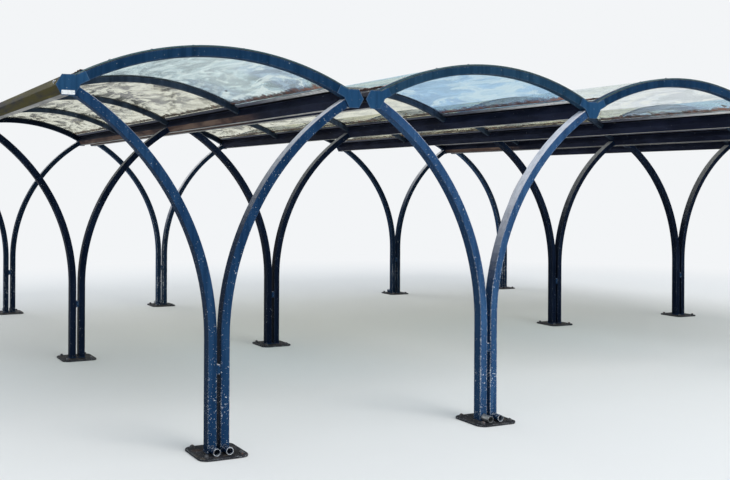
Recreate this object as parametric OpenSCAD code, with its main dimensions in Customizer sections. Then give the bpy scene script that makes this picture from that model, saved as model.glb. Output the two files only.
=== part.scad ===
// Arched bike shelter: five barrel vaults side by side on twin curved legs, in three rows of legs.
// X runs along the row of vaults, Y runs along each vault from the front to the rear, Z is up.
// The origin is on the ground, in the middle of the plan. All sizes are in millimetres.

/* [Plan] */
// Distance between the two gutters of one vault, axis to axis
vault_span = 1750; // [1450:10:2150]
// Distance between two rows of legs
bay_depth = 3720; // [2500:10:4800]
// Height of the gutter axes above the ground
gutter_z = 2115; // [1760:5:2600]

/* [Legs] */
// Width of a leg tube, seen from the front
leg_w = 55; // [40:1:57]
// Depth of a leg tube, front to rear
leg_d = 80; // [60:1:120]
// Clear gap between the two tubes of a pair at the foot
leg_gap = 24; // [14:1:60]
// Height of the spacer block that joins the two tubes
spacer_h = 56; // [30:1:90]
// Distance from the start of the bend down to the middle of the spacer block
spacer_drop = 173; // [60:1:250]
// Distance from the face of the tubes back to the face of the spacer block
spacer_inset = 4; // [0:1:20]

/* [Base plates] */
// Width of a base plate
base_w = 300; // [230:5:400]
// Depth of a base plate, front to rear
base_d = 350; // [280:5:450]
// Thickness of a base plate
base_t = 12; // [8:1:20]
// Radius of the corners of a base plate
base_corner_r = 60; // [20:1:100]
// Spacing of the anchor holes across the plate
anchor_x = 210; // [160:5:240]
// Spacing of the anchor holes from front to rear
anchor_y = 260; // [180:5:290]
// Radius of an anchor hole
anchor_r = 9; // [6:0.5:12]

/* [Rain spouts] */
// Outer radius of the short drain pipe at the foot of a tube
spout_r = 22; // [15:1:28]
// Wall of the drain pipe
spout_wall = 3; // [2:0.5:5]
// Length of the drain pipe
spout_len = 85; // [40:5:130]

/* [Gutters] */
// Side of the hexagon that the gutter is folded to
gutter_side = 58; // [56:1:80]
// Wall of the gutter
gutter_wall = 4; // [2:0.5:6]
// Width of the lip on each side of the open slot along the top of the gutter
lip_w = 2; // [1:0.5:4]
// Width of the sloping flange that carries the edge of a sheet
flange_w = 58; // [40:1:110]
// How far the flange runs on over the corner of the gutter
flange_root = 6; // [3:1:8]
// Height of the block between two neighbouring gutters, which is as long as a leg tube is deep
coupling_h = 40; // [20:1:60]

/* [End plates] */
// How far the hexagonal end plate stands out beyond the corners of the gutter
plate_rim = 9; // [2:1:14]
// Clear gap between the end plates of two gutters that stand side by side
plate_gap = 16; // [4:1:80]
// Thickness of the end plate
plate_t = 8; // [5:1:12]
// Length of the arm of the end plate that lies on the arch
plate_arm = 62; // [30:1:120]
// How far the arm runs on into the end plate
arm_root = 10; // [4:1:20]
// Width of the bare label plate
label_w = 72; // [40:1:76]
// Height of the bare label plate
label_h = 24; // [12:1:26]
// Thickness of the bare label plate
label_t = 1; // [0.5:0.5:2]
// Distance from the lower edge of the end plate up to the label plate
label_up = 5; // [5:1:30]

/* [Arches and ribs] */
// How much less high an end arch is than the face of the gutter it meets
arch_step = 2; // [1:1:3]
// Depth of an end arch, front to rear
arch_d = 60; // [40:1:80]
// Height of an inner rib, measured across its curve
rib_h = 42; // [30:1:52]
// Depth of an inner rib, front to rear
rib_d = 40; // [25:1:60]

/* [Roof sheets] */
// Thickness of a roof sheet
sheet_t = 4; // [3:0.5:8]
// Gap between two sheets at a rib
sheet_gap = 6; // [2:1:15]
// How far a sheet reaches over the slot of the gutter, measured from the gutter's corner
sheet_lap = 6; // [3:1:12]
// Distance from the face of the end arch back to the edge of the sheet
sheet_inset = 4; // [0:1:15]
// Thickness of the rubber strip under the sheets, and of the flange
seal_t = 3; // [3:0.5:6]
// Gap between the edge of the flange and the end of a rubber strip
seal_gap = 1; // [0:0.5:5]
// Width of the strip that covers a joint
strip_w = 50; // [30:1:60]
// Thickness of the strip that covers a joint
strip_t = 3; // [2:0.5:5]

/* [Hidden] */
$fn = 48;
arc_fn = 360;

// How far a cutting body reaches past the piece it cuts
cut = 1;

// Sizes that follow from the side of the gutter
slot_w = gutter_side - 2 * lip_w;
arch_h = gutter_side - arch_step;
plate_side = gutter_side + plate_rim;
pair_gap = 2 * plate_side + plate_gap;

// Middle of each vault, from left to right; vault 3 hangs between vaults 2 and 4 and has no legs
outer_x = 2 * vault_span + pair_gap;
vault_x = [-outer_x, -vault_span, 0, vault_span, outer_x];
leg_x = [vault_x[0], vault_x[1], vault_x[3], vault_x[4]];
row_y = [-bay_depth, 0, bay_depth];
rib_y = [-bay_depth / 2, 0, bay_depth / 2];
front_y = row_y[0] - leg_d / 2;
rear_y = row_y[2] + leg_d / 2;

// Axis of each gutter, and on which sides of it a vault begins
half_span = vault_span / 2;
gutter_x = [
    vault_x[0] - half_span, vault_x[0] + half_span, vault_x[1] - half_span, vault_x[1] + half_span,
    vault_x[3] - half_span, vault_x[3] + half_span, vault_x[4] - half_span, vault_x[4] + half_span
];
gutter_sides = [[1], [-1], [1], [-1, 1], [-1, 1], [-1], [1], [-1]];
pair_x = [(gutter_x[1] + gutter_x[2]) / 2, (gutter_x[5] + gutter_x[6]) / 2];

// An arch meets the gutter square to its upper face, and a leg square to its lower face
arch_angle = 30;
leg_angle = 90 - arch_angle;
arch_r = half_span / sin(arch_angle);
arch_centre_z = gutter_z - arch_r * cos(arch_angle);
tube_x = (leg_gap + leg_w) / 2;
leg_r = (half_span - tube_x) / (1 - cos(leg_angle));
bend_z = gutter_z - leg_r * sin(leg_angle);
spacer_z = bend_z - spacer_drop;

// Distances from the gutter axis, measured along the arch
corner_s = gutter_side * cos(30);
flange_from = corner_s - flange_root;
flange_to = corner_s + flange_w;
arm_from = corner_s - arm_root;
arm_to = plate_side * cos(30) + plate_arm;
sheet_from = corner_s - sheet_lap;
seal_from = flange_to + seal_gap;

// Radii of the layers of the roof, from the inside outwards
arch_top = arch_r + arch_h / 2;
arch_low = arch_top - arch_h;
rib_low = arch_top - rib_h;
sheet_low = arch_top + seal_t;
sheet_top = sheet_low + sheet_t;
strip_top = sheet_top + strip_t;
sheet_y = front_y + sheet_inset;
label_z = gutter_z - plate_side * sin(60) + label_up;

big = 4 * arch_r;

// Angle from the top of a vault to a point that lies the given length from the gutter axis
function vault_angle(s) = arch_angle - s / arch_r * 180 / PI;

// Wedge that opens upwards from the middle of the arc, in the plane of an arch
module sector(angle) {
    polygon([[0, 0], [-big * tan(angle), big], [big * tan(angle), big]]);
}

// Ring about the middle of the arc, cut to the part that lies between two lengths from the gutter axes
module arc_band(low, top, s_from) {
    intersection() {
        difference() {
            circle(r = top, $fn = arc_fn);
            circle(r = low, $fn = arc_fn);
        }
        sector(vault_angle(s_from));
    }
}

module gutter_hexagon(side) {
    circle(r = side, $fn = 6);
}

// Piece of the same ring on one side of a gutter, in the gutter's own frame
module arc_piece(side, low, top, s_from, s_to) {
    translate([side * half_span, -arch_r * cos(arch_angle)])
        intersection() {
            difference() {
                arc_band(low, top, s_from);
                sector(vault_angle(s_to));
            }
            translate([side > 0 ? -big : 0, 0])
                square(big);
        }
}

// Stands an outline in the X-Z plane up, between two places along Y
module along_y(from, to) {
    translate([0, to, 0])
        rotate([90, 0, 0])
            linear_extrude(to - from)
                children();
}

// Outline of an arch or rib between its two gutters
module arch_outline(low, top) {
    difference() {
        translate([0, arch_centre_z])
            arc_band(low, top, 0);
        for (side = [-1, 1])
            translate([side * half_span, gutter_z])
                gutter_hexagon(gutter_side);
    }
}

// Outline of the tube that leans to the right: upright at the foot, then bent outwards to the gutter
module leg_outline() {
    difference() {
        union() {
            translate([tube_x - leg_w / 2, base_t])
                square([leg_w, bend_z - base_t]);
            translate([tube_x + leg_r, bend_z])
                intersection() {
                    difference() {
                        circle(r = leg_r + leg_w / 2, $fn = arc_fn);
                        circle(r = leg_r - leg_w / 2, $fn = arc_fn);
                    }
                    polygon([[0, 0], [-big, 0], [-big, big * tan(leg_angle)]]);
                }
        }
        translate([half_span, gutter_z])
            gutter_hexagon(gutter_side);
    }
}

module legs(x, y) {
    color("#1f3f66")
        translate([x, 0, 0])
            for (side = [0, 1])
                mirror([side, 0, 0])
                    along_y(y - leg_d / 2, y + leg_d / 2)
                        leg_outline();
}

module leg_spacers() {
    color("#1f3f66")
        for (x = leg_x, y = row_y)
            translate([x - leg_gap / 2, y - leg_d / 2 + spacer_inset, spacer_z - spacer_h / 2])
                cube([leg_gap, leg_d - 2 * spacer_inset, spacer_h]);
}

module base_outline() {
    square([base_w - 2 * base_corner_r, base_d], center = true);
    square([base_w, base_d - 2 * base_corner_r], center = true);
    for (sx = [-1, 1], sy = [-1, 1])
        translate([sx * (base_w / 2 - base_corner_r), sy * (base_d / 2 - base_corner_r)])
            circle(r = base_corner_r);
}

module base_plates() {
    color("#3a3c40")
        for (x = leg_x, y = row_y)
            translate([x, y, 0])
                difference() {
                    linear_extrude(base_t)
                        base_outline();
                    for (sx = [-1, 1], sy = [-1, 1])
                        translate([sx * anchor_x / 2, sy * anchor_y / 2, -cut])
                            cylinder(r = anchor_r, h = base_t + 2 * cut);
                }
}

// Short open pipes at the feet of the front and rear rows, where the rain from the gutters runs out
module rain_spouts() {
    color("#6d7378")
        for (x = leg_x, side = [-1, 1], end = [0, 1])
            mirror([0, end, 0])
                translate([x + side * tube_x, front_y, base_t + spout_r])
                    rotate([90, 0, 0])
                        difference() {
                            cylinder(r = spout_r, h = spout_len);
                            translate([0, 0, -cut])
                                cylinder(r = spout_r - spout_wall, h = spout_len + 2 * cut);
                        }
}

// Folded gutter with an open slot along its top; its lips stay under the edge of the sheets
module gutter_outline(sides) {
    difference() {
        gutter_hexagon(gutter_side);
        gutter_hexagon(gutter_side - gutter_wall / cos(30));
        translate([-slot_w / 2, 0])
            square([slot_w, 2 * gutter_side]);
        for (side = sides)
            arc_piece(side, sheet_low, strip_top, sheet_from, flange_to);
    }
    for (side = sides)
        arc_piece(side, arch_top, sheet_low, flange_from, flange_to);
}

module gutter(n) {
    color("#1c3350")
        translate([gutter_x[n], 0, gutter_z])
            along_y(front_y, rear_y)
                gutter_outline(gutter_sides[n]);
}

module gutter_couplings() {
    color("#20262e")
        for (x = pair_x, y = row_y)
            translate([x, 0, gutter_z])
                along_y(y - leg_d / 2, y + leg_d / 2)
                    difference() {
                        square([pair_gap, coupling_h], center = true);
                        for (side = [-1, 1])
                            translate([side * pair_gap / 2, 0])
                                gutter_hexagon(gutter_side);
                    }
}

// Hexagonal plates that close the gutters, each with an arm along every arch that begins there
module end_plates(from) {
    color("#27507c")
        for (n = [0 : len(gutter_x) - 1])
            translate([gutter_x[n], 0, gutter_z])
                along_y(from, from + plate_t) {
                    gutter_hexagon(plate_side);
                    for (side = gutter_sides[n])
                        arc_piece(side, arch_low, arch_top, arm_from, arm_to);
                }
}

module label_plate() {
    color("#e4e8ea")
        translate([gutter_x[0] - label_w / 2, front_y - plate_t - label_t, label_z])
            cube([label_w, label_t, label_h]);
}

module end_arches(x) {
    color("#1b365a")
        translate([x, 0, 0])
            for (end = [0, 1])
                mirror([0, end, 0])
                    along_y(front_y, front_y + arch_d)
                        arch_outline(arch_low, arch_top);
}

module ribs(x) {
    color("#16283f")
        translate([x, 0, 0])
            for (y = rib_y)
                along_y(y - rib_d / 2, y + rib_d / 2)
                    arch_outline(rib_low, arch_top);
}

module vault_layer(x, low, top, s_from, from, to) {
    translate([x, 0, arch_centre_z])
        along_y(from, to)
            arc_band(low, top, s_from);
}

// Four curved sheets a vault, which meet over the ribs
module sheets(x) {
    half_gap = sheet_gap / 2;
    from = [sheet_y, rib_y[0] + half_gap, rib_y[1] + half_gap, rib_y[2] + half_gap];
    to = [rib_y[0] - half_gap, rib_y[1] - half_gap, rib_y[2] - half_gap, -sheet_y];
    color("#cfe0e6", 0.4)
        for (k = [0 : 3])
            vault_layer(x, sheet_low, sheet_top, sheet_from, from[k], to[k]);
}

// Rubber between the arches and the sheets, as wide as the arch or rib it lies on
module sheet_seals() {
    color("#141414")
        for (x = vault_x) {
            for (end = [0, 1])
                mirror([0, end, 0])
                    vault_layer(x, arch_top, sheet_low, seal_from, front_y, front_y + arch_d);
            for (y = rib_y)
                vault_layer(x, arch_top, sheet_low, seal_from, y - rib_d / 2, y + rib_d / 2);
        }
}

// Flat strips over the edges and joints of the sheets
module joint_strips() {
    color("#1b365a")
        for (x = vault_x) {
            for (end = [0, 1])
                mirror([0, end, 0])
                    vault_layer(x, sheet_top, strip_top, corner_s, sheet_y, sheet_y + strip_w);
            for (y = rib_y)
                vault_layer(x, sheet_top, strip_top, corner_s, y - strip_w / 2, y + strip_w / 2);
        }
}

legs(leg_x[0], row_y[0]);  // legs_vault1_front
legs(leg_x[0], row_y[1]);  // legs_vault1_middle
legs(leg_x[0], row_y[2]);  // legs_vault1_rear
legs(leg_x[1], row_y[0]);  // legs_vault2_front
legs(leg_x[1], row_y[1]);  // legs_vault2_middle
legs(leg_x[1], row_y[2]);  // legs_vault2_rear
legs(leg_x[2], row_y[0]);  // legs_vault4_front
legs(leg_x[2], row_y[1]);  // legs_vault4_middle
legs(leg_x[2], row_y[2]);  // legs_vault4_rear
legs(leg_x[3], row_y[0]);  // legs_vault5_front
legs(leg_x[3], row_y[1]);  // legs_vault5_middle
legs(leg_x[3], row_y[2]);  // legs_vault5_rear
leg_spacers();
base_plates();
rain_spouts();
gutter(0);  // gutter_1
gutter(1);  // gutter_2
gutter(2);  // gutter_3
gutter(3);  // gutter_4
gutter(4);  // gutter_5
gutter(5);  // gutter_6
gutter(6);  // gutter_7
gutter(7);  // gutter_8
gutter_couplings();
end_plates(front_y - plate_t);  // front_end_plates
end_plates(rear_y);  // rear_end_plates
label_plate();
end_arches(vault_x[0]);  // end_arches_vault1
end_arches(vault_x[1]);  // end_arches_vault2
end_arches(vault_x[2]);  // end_arches_vault3
end_arches(vault_x[3]);  // end_arches_vault4
end_arches(vault_x[4]);  // end_arches_vault5
ribs(vault_x[0]);  // ribs_vault1
ribs(vault_x[1]);  // ribs_vault2
ribs(vault_x[2]);  // ribs_vault3
ribs(vault_x[3]);  // ribs_vault4
ribs(vault_x[4]);  // ribs_vault5
sheets(vault_x[0]);  // sheets_vault1
sheets(vault_x[1]);  // sheets_vault2
sheets(vault_x[2]);  // sheets_vault3
sheets(vault_x[3]);  // sheets_vault4
sheets(vault_x[4]);  // sheets_vault5
sheet_seals();
joint_strips();
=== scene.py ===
"""Finish of the bike shelter: rounded steel, welds, fixings, drains, clear sheets, litter, stage and camera."""

import math
import random

import bmesh
import bpy
from mathutils import Matrix, Vector, noise


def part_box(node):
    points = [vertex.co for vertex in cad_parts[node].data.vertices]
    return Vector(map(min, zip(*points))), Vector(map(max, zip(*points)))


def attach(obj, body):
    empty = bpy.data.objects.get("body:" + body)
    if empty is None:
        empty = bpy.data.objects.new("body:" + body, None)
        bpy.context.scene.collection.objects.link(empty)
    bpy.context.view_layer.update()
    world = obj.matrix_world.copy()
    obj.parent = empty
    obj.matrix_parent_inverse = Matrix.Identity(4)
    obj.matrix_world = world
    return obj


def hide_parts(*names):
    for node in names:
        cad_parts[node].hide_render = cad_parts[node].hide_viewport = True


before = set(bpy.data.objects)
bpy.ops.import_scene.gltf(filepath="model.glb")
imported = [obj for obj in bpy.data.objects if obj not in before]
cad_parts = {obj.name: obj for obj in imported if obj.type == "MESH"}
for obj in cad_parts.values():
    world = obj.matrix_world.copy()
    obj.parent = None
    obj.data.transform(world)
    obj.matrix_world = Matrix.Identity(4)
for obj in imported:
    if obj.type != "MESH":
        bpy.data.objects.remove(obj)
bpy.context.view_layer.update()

bl_info = {
    "name": "Arched Bike Shelter",
    "version": (1, 0, 0),
    "blender": (4, 5, 0),
    "location": "View3D > Sidebar > Shelter",
    "description": "Finishes the bike shelter with rounded steel, welds, fixings, worn paint and clear sheets",
    "category": "Object",
}

# Sizes read from the frame

COS30 = math.cos(math.radians(30))
SIN30 = 0.5


def middle(node):
    low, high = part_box(node)
    return (low + high) / 2


def corner_points(node):
    return [v.co.copy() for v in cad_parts[node].data.vertices]


def extent(node):
    low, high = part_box(node)
    return [far - near for near, far in zip(low, high)]


def bars(node):
    """Front and rear edge of each bar of a node, from the front on."""
    edges = sorted({round(p.y, 3) for p in corner_points(node)})
    return list(zip(edges[::2], edges[1::2]))


def gutter_axis(n, flanges):
    """Place of a gutter across the shelter, without the flanges that carry the sheets."""
    low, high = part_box(f"gutter_{n}")
    if len(flanges) == 2:
        return middle(f"gutter_{n}").x
    return low.x + GUTTER_SIDE if 1 in flanges else high.x - GUTTER_SIDE


def radii(node):
    """Smallest and largest distance of a node of vault 1 from the axis of its curve."""
    found = [math.hypot(p.x - VAULT_X[1], p.z - ARC_Z) for p in corner_points(node)]
    return min(found), max(found)


HAIR = 0.001  # A length that counts as none
VAULTS = (1, 2, 3, 4, 5)
SUNNY = (2, 5)
SIDES = (-1, 1)
ROWS = ("front", "middle", "rear")
LEG_VAULTS = (1, 2, 4, 5)
LEG_PAIRS = [(vault, row) for vault in LEG_VAULTS for row in ROWS]
VAULT_X = {k: middle(f"sheets_vault{k}").x for k in VAULTS}
ROW_Y = {row: middle(f"legs_vault1_{row}").y for row in ROWS}
GUTTER_Z = middle("gutter_couplings").z
GUTTER_SIDE = (GUTTER_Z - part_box("gutter_4")[0].z) / COS30
GUTTER_FACE = GUTTER_SIDE * COS30
FLANGES = {1: (1,), 2: (-1,), 3: (1,), 4: (-1, 1), 5: (-1, 1), 6: (-1,), 7: (1,), 8: (-1,)}
GUTTER_X = {n: gutter_axis(n, flanges) for n, flanges in FLANGES.items()}
SPAN = GUTTER_X[2] - GUTTER_X[1]
ARC_R = SPAN
ARC_Z = GUTTER_Z - ARC_R * COS30
FRONT_Y, REAR_Y = (corner.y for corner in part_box("gutter_4"))
RIBS = bars("ribs_vault1")
RIB_D = RIBS[0][1] - RIBS[0][0]
RIB_Y = [sum(edges) / 2 for edges in RIBS]
RIB_LOW = radii("ribs_vault1")[0]
ARCH_LOW, ARCH_TOP = radii("end_arches_vault1")
ARCH_D = min(p.y for p in corner_points("end_arches_vault1") if p.y > FRONT_Y + HAIR) - FRONT_Y
SHEET_TOP = radii("sheets_vault1")[1]
STRIP_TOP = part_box("joint_strips")[1].z - ARC_Z
STRIP_Y = [sum(edges) / 2 for edges in bars("joint_strips")]
BASE_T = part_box("base_plates")[1].z
FOOT = sorted({
    round(abs(p.x - VAULT_X[1]), 4) for p in corner_points("legs_vault1_front") if p.z < BASE_T + HAIR})
TUBE_X = (FOOT[0] + FOOT[-1]) / 2
LEG_W = FOOT[-1] - FOOT[0]
LEG_D = extent("legs_vault1_front")[1]
SPOUT_LEN = FRONT_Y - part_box("rain_spouts")[0].y
SPOUT_R = extent("rain_spouts")[2] / 2
SPOUT_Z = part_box("rain_spouts")[0].z + SPOUT_R
FOOT_RIMS = [(p.x - VAULT_X[1], p.y - ROW_Y["front"]) for p in corner_points("base_plates") if p.z < HAIR]
HOLE = [(x, y) for x, y in FOOT_RIMS if 0 < x < 0.125 and 0 < y < 0.145]
ANCHOR_X, ANCHOR_Y = ((min(places) + max(places)) / 2 for places in zip(*HOLE))

# Sizes that are not in the frame, in metres

RIB_ROUND, BLOCK_ROUND, COUPLING_ROUND, FOLD_ROUND, LABEL_ROUND = 0.004, 0.003, 0.002, 0.005, 0.003
WASHER_R, WASHER_T, NUT_ACROSS, NUT_H, STUD_R, STUD_H = 0.015, 0.003, 0.024, 0.0115, 0.0078, 0.019
PIPE_WALL, WELD_CORNER, WALL = 0.003, 0.006, 0.0005
RIVET_R, RIVET_H, RIVET_INSET = 0.0022, 0.0010, 0.005
LITTER_START, LITTER_STOP, LITTER_END = GUTTER_FACE + 0.056, GUTTER_FACE + 0.112, 0.06
LITTER_LIFT, LITTER_THIN = 0.0006, 0.0014
LEAF_LEN, LEAF_W, LEAF_CURL, LEAF_FOLD = 0.046, 0.026, 0.007, 0.006


def srgb(red, green, blue):
    """Colour as a screen shows it, 0 to 255, made a linear colour."""
    linear = []
    for value in (red, green, blue):
        value /= 255
        linear.append(value / 12.92 if value <= 0.04045 else ((value + 0.055) / 1.055) ** 2.4)
    return (*linear, 1.0)


def scaled(colour, factor, lift=0.0):
    return (*(min(1.0, factor * value + lift) for value in colour[:3]), 1.0)


# Shader maths


class Reading:
    """A number, colour or direction that varies over a surface. Sums on a number add Math nodes."""

    def __init__(self, surface, socket):
        self.surface = surface
        self.socket = socket

    def worked(self, operation, *values):
        return self.surface.node("ShaderNodeMath", values, operation=operation)

    def __add__(self, other):
        return self.worked("ADD", self, other)

    def __radd__(self, other):
        return self.worked("ADD", other, self)

    def __sub__(self, other):
        return self.worked("SUBTRACT", self, other)

    def __rsub__(self, other):
        return self.worked("SUBTRACT", other, self)

    def __mul__(self, other):
        return self.worked("MULTIPLY", self, other)

    def __rmul__(self, other):
        return self.worked("MULTIPLY", other, self)

    def __abs__(self):
        return self.worked("ABSOLUTE", self)

    def above(self, edge):
        return self.worked("GREATER_THAN", self, edge)

    def most(self, other):
        return self.worked("MAXIMUM", self, other)

    def least(self, other):
        return self.worked("MINIMUM", self, other)

    def between(self, low, high, start=0.0, end=1.0):
        """Soft step from start, at low, to end, at high."""
        return self.surface.node(
            "ShaderNodeMapRange", (self, low, high, start, end), interpolation_type="SMOOTHSTEP")


class Surface:
    """A material or the world, and the nodes that work out its colour, gloss and relief."""

    def __init__(self, name, ground=None, library="materials"):
        self.owner = getattr(bpy.data, library).new(name)
        self.owner.use_nodes = True
        self.tree = self.owner.node_tree
        self.tree.nodes.clear()
        self.tone = ground
        self.kept = {}

    def node(self, kind, values=(), out=0, **settings):
        """Adds a node: its settings first, then the values or links of its sockets. Gives its output."""
        made = self.tree.nodes.new(kind)
        for key, value in settings.items():
            setattr(made, key, value)
        for key, value in values.items() if isinstance(values, dict) else enumerate(values):
            if isinstance(value, Reading):
                self.tree.links.new(value.socket, made.inputs[key])
            else:
                made.inputs[key].default_value = value
        return Reading(self, made.outputs[out]) if len(made.outputs) else None

    def once(self, key, *node):
        """Adds a node the first time that it is asked for, and gives its output again after that."""
        if key not in self.kept:
            self.kept[key] = self.node(*node)
        return self.kept[key]

    def place(self):
        return self.once("place", "ShaderNodeTexCoord", (), "Object")

    def axis(self, name):
        return self.once(name, "ShaderNodeSeparateXYZ", (self.place(),), name)

    def normal(self):
        return self.once("normal", "ShaderNodeNewGeometry", (), "True Normal")

    def facing(self, name):
        return self.once("facing " + name, "ShaderNodeSeparateXYZ", (self.normal(),), name)

    def ray(self, kind):
        return self.node("ShaderNodeLightPath", out=kind)

    def length(self, vector):
        return self.node("ShaderNodeVectorMath", (vector,), "Value", operation="LENGTH")

    def stretched(self, shares, shift=(0, 0, 0)):
        """Object coordinates, multiplied along each axis."""
        return self.node("ShaderNodeVectorMath", (self.place(), shares, shift), operation="MULTIPLY_ADD")

    def cloud(self, scale, detail=3.0, rough=0.55, place=None, distortion=0.0):
        values = {
            "Vector": place or self.place(), "Scale": scale, "Detail": detail,
            "Roughness": rough, "Distortion": distortion}
        return self.node("ShaderNodeTexNoise", values, "Fac")

    def edge(self, reach):
        """1 on the corners of the steel, 0 on its flats."""
        soft = self.node("ShaderNodeBevel", {"Radius": reach}, samples=4)
        along = self.node("ShaderNodeVectorMath", (soft, self.normal()), "Value", operation="DOT_PRODUCT")
        return (1.0 - along).between(0.01, 0.22)

    def mix(self, share, first, second):
        return self.node("ShaderNodeMix", {0: share, 6: first, 7: second}, 2, data_type="RGBA")

    def coat(self, share, colour):
        """Lays a colour over the tone so far."""
        self.tone = self.mix(share, self.tone, colour)

    def skin(self, rough, relief=None, others=None):
        """Solid shader with the tone. Relief is a height, its depth in metres and its strength."""
        values = {"Base Color": self.tone, "Roughness": rough, **(others or {})}
        if relief:
            bump = dict(zip(("Height", "Distance", "Strength"), relief))
            values["Normal"] = self.node("ShaderNodeBump", bump)
        return self.node("ShaderNodeBsdfPrincipled", values)

    def clear(self, colour):
        return self.node("ShaderNodeBsdfTransparent", {"Color": colour})

    def blended(self, share, first, second):
        return self.node("ShaderNodeMixShader", (share, first, second))

    def shown(self, shader, output="ShaderNodeOutputMaterial"):
        self.node(output, (shader,))
        return self.owner

    def finish(self, *skin):
        """Adds the solid shader and the output."""
        return self.shown(self.skin(*skin))


def painted_steel(
        name, paint, faded, chip, wear=1.0, knocked=0.8, chips=0.0, dust=0.3, bleach=None, edges=0.5,
        sheltered=0.0, shade=0.0):
    """Old blue paint: faded in clouds and streaks, light on the corners from wear and painted highlight,
    chipped where bikes knock it, with painted shade and painted sky light where asked.
    """
    s = Surface(name, paint)
    clouds = s.cloud(1.9, 3.0)
    streaks = s.cloud(1.0, 4.0, 0.6, s.stretched((31.0, 31.0, 1.9)))
    speckle = s.cloud(74.0, 4.0, 0.68)
    flecks = s.cloud(110.0, 2.0, 0.5)
    corner = s.edge(0.010)
    height = s.axis("Z")
    low = height.between(knocked * 0.7, knocked * 1.3, 1.0, 0.0)
    kicked = height.between(0.20, 0.27) * height.between(0.32, 0.40, 1.0, 0.0)
    kicked = kicked + height.between(0.04, 0.10, 0.8, 0.0)
    up = s.facing("Z").between(0.15, 0.9)
    dark = scaled(paint, 0.5)
    s.coat((clouds * 0.55 + streaks * 0.45).between(0.40, 0.66) * 0.6, faded)
    s.coat((1.0 - streaks).between(0.46, 0.72) * 0.45, dark)
    # Painted shade: faces that look into the shelter are darker.
    if sheltered:
        inward = s.facing("Y") * s.axis("Y") * (-1.0 / REAR_Y)
        s.coat(inward.between(0.3, 0.8) * sheltered, srgb(12, 17, 28))
    # Painted shade: faces that look to -X are darker.
    if shade:
        s.coat(s.facing("X").between(-0.95, -0.45, 1.0, 0.0) * shade, dark)
    s.coat(up * dust * clouds.between(0.3, 0.62, 0.4, 1.0), srgb(126, 134, 142))
    # Upward faces are paler: partly sun bleaching, partly painted reflection of the sky.
    if bleach:
        share, start, full = bleach
        sunny = s.facing("Z").between(start, full) * streaks.between(0.3, 0.6, 0.75, 1.0)
        s.coat(sunny * share, srgb(238, 236, 240))
    # Lighter corners: partly rubbed paint, partly a painted highlight along the edges.
    light = tuple(0.45 * old + 0.55 * pale for old, pale in zip(faded, srgb(196, 206, 216)))
    s.coat(corner * (streaks * 0.5 + speckle * 0.5).between(0.40, 0.58, 0.15, 1.0) * edges, light)
    beside = s.edge(0.017) if wear > 0.9 else corner
    chance = speckle + beside * (low * 0.10 + 0.03) * wear + kicked * (0.045 * wear)
    chance = chance + (low * 0.006 * wear - chips) - height.between(0.9, 1.5, 0.0, 0.010)
    rubbed = (flecks + corner * (low * 0.10 + 0.02) * wear + kicked * 0.02 - chips).between(0.70, 0.74) * 0.6
    bare = chance.between(0.684, 0.700).most(rubbed)
    s.coat(bare, chip)
    s.coat(s.cloud(30.0, 3.0).between(0.56, 0.62) * chance.between(0.74, 0.77), srgb(112, 70, 45))
    rough = streaks.between(0.3, 0.7, 0.36, 0.54) + bare * 0.25 + up * (dust * 0.25)
    relief = flecks * 0.06 + (1.0 - bare) * 0.5 + clouds * 0.2
    return s.finish(rough, (relief, 0.0012, 0.55), {"IOR": 1.07})


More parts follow.
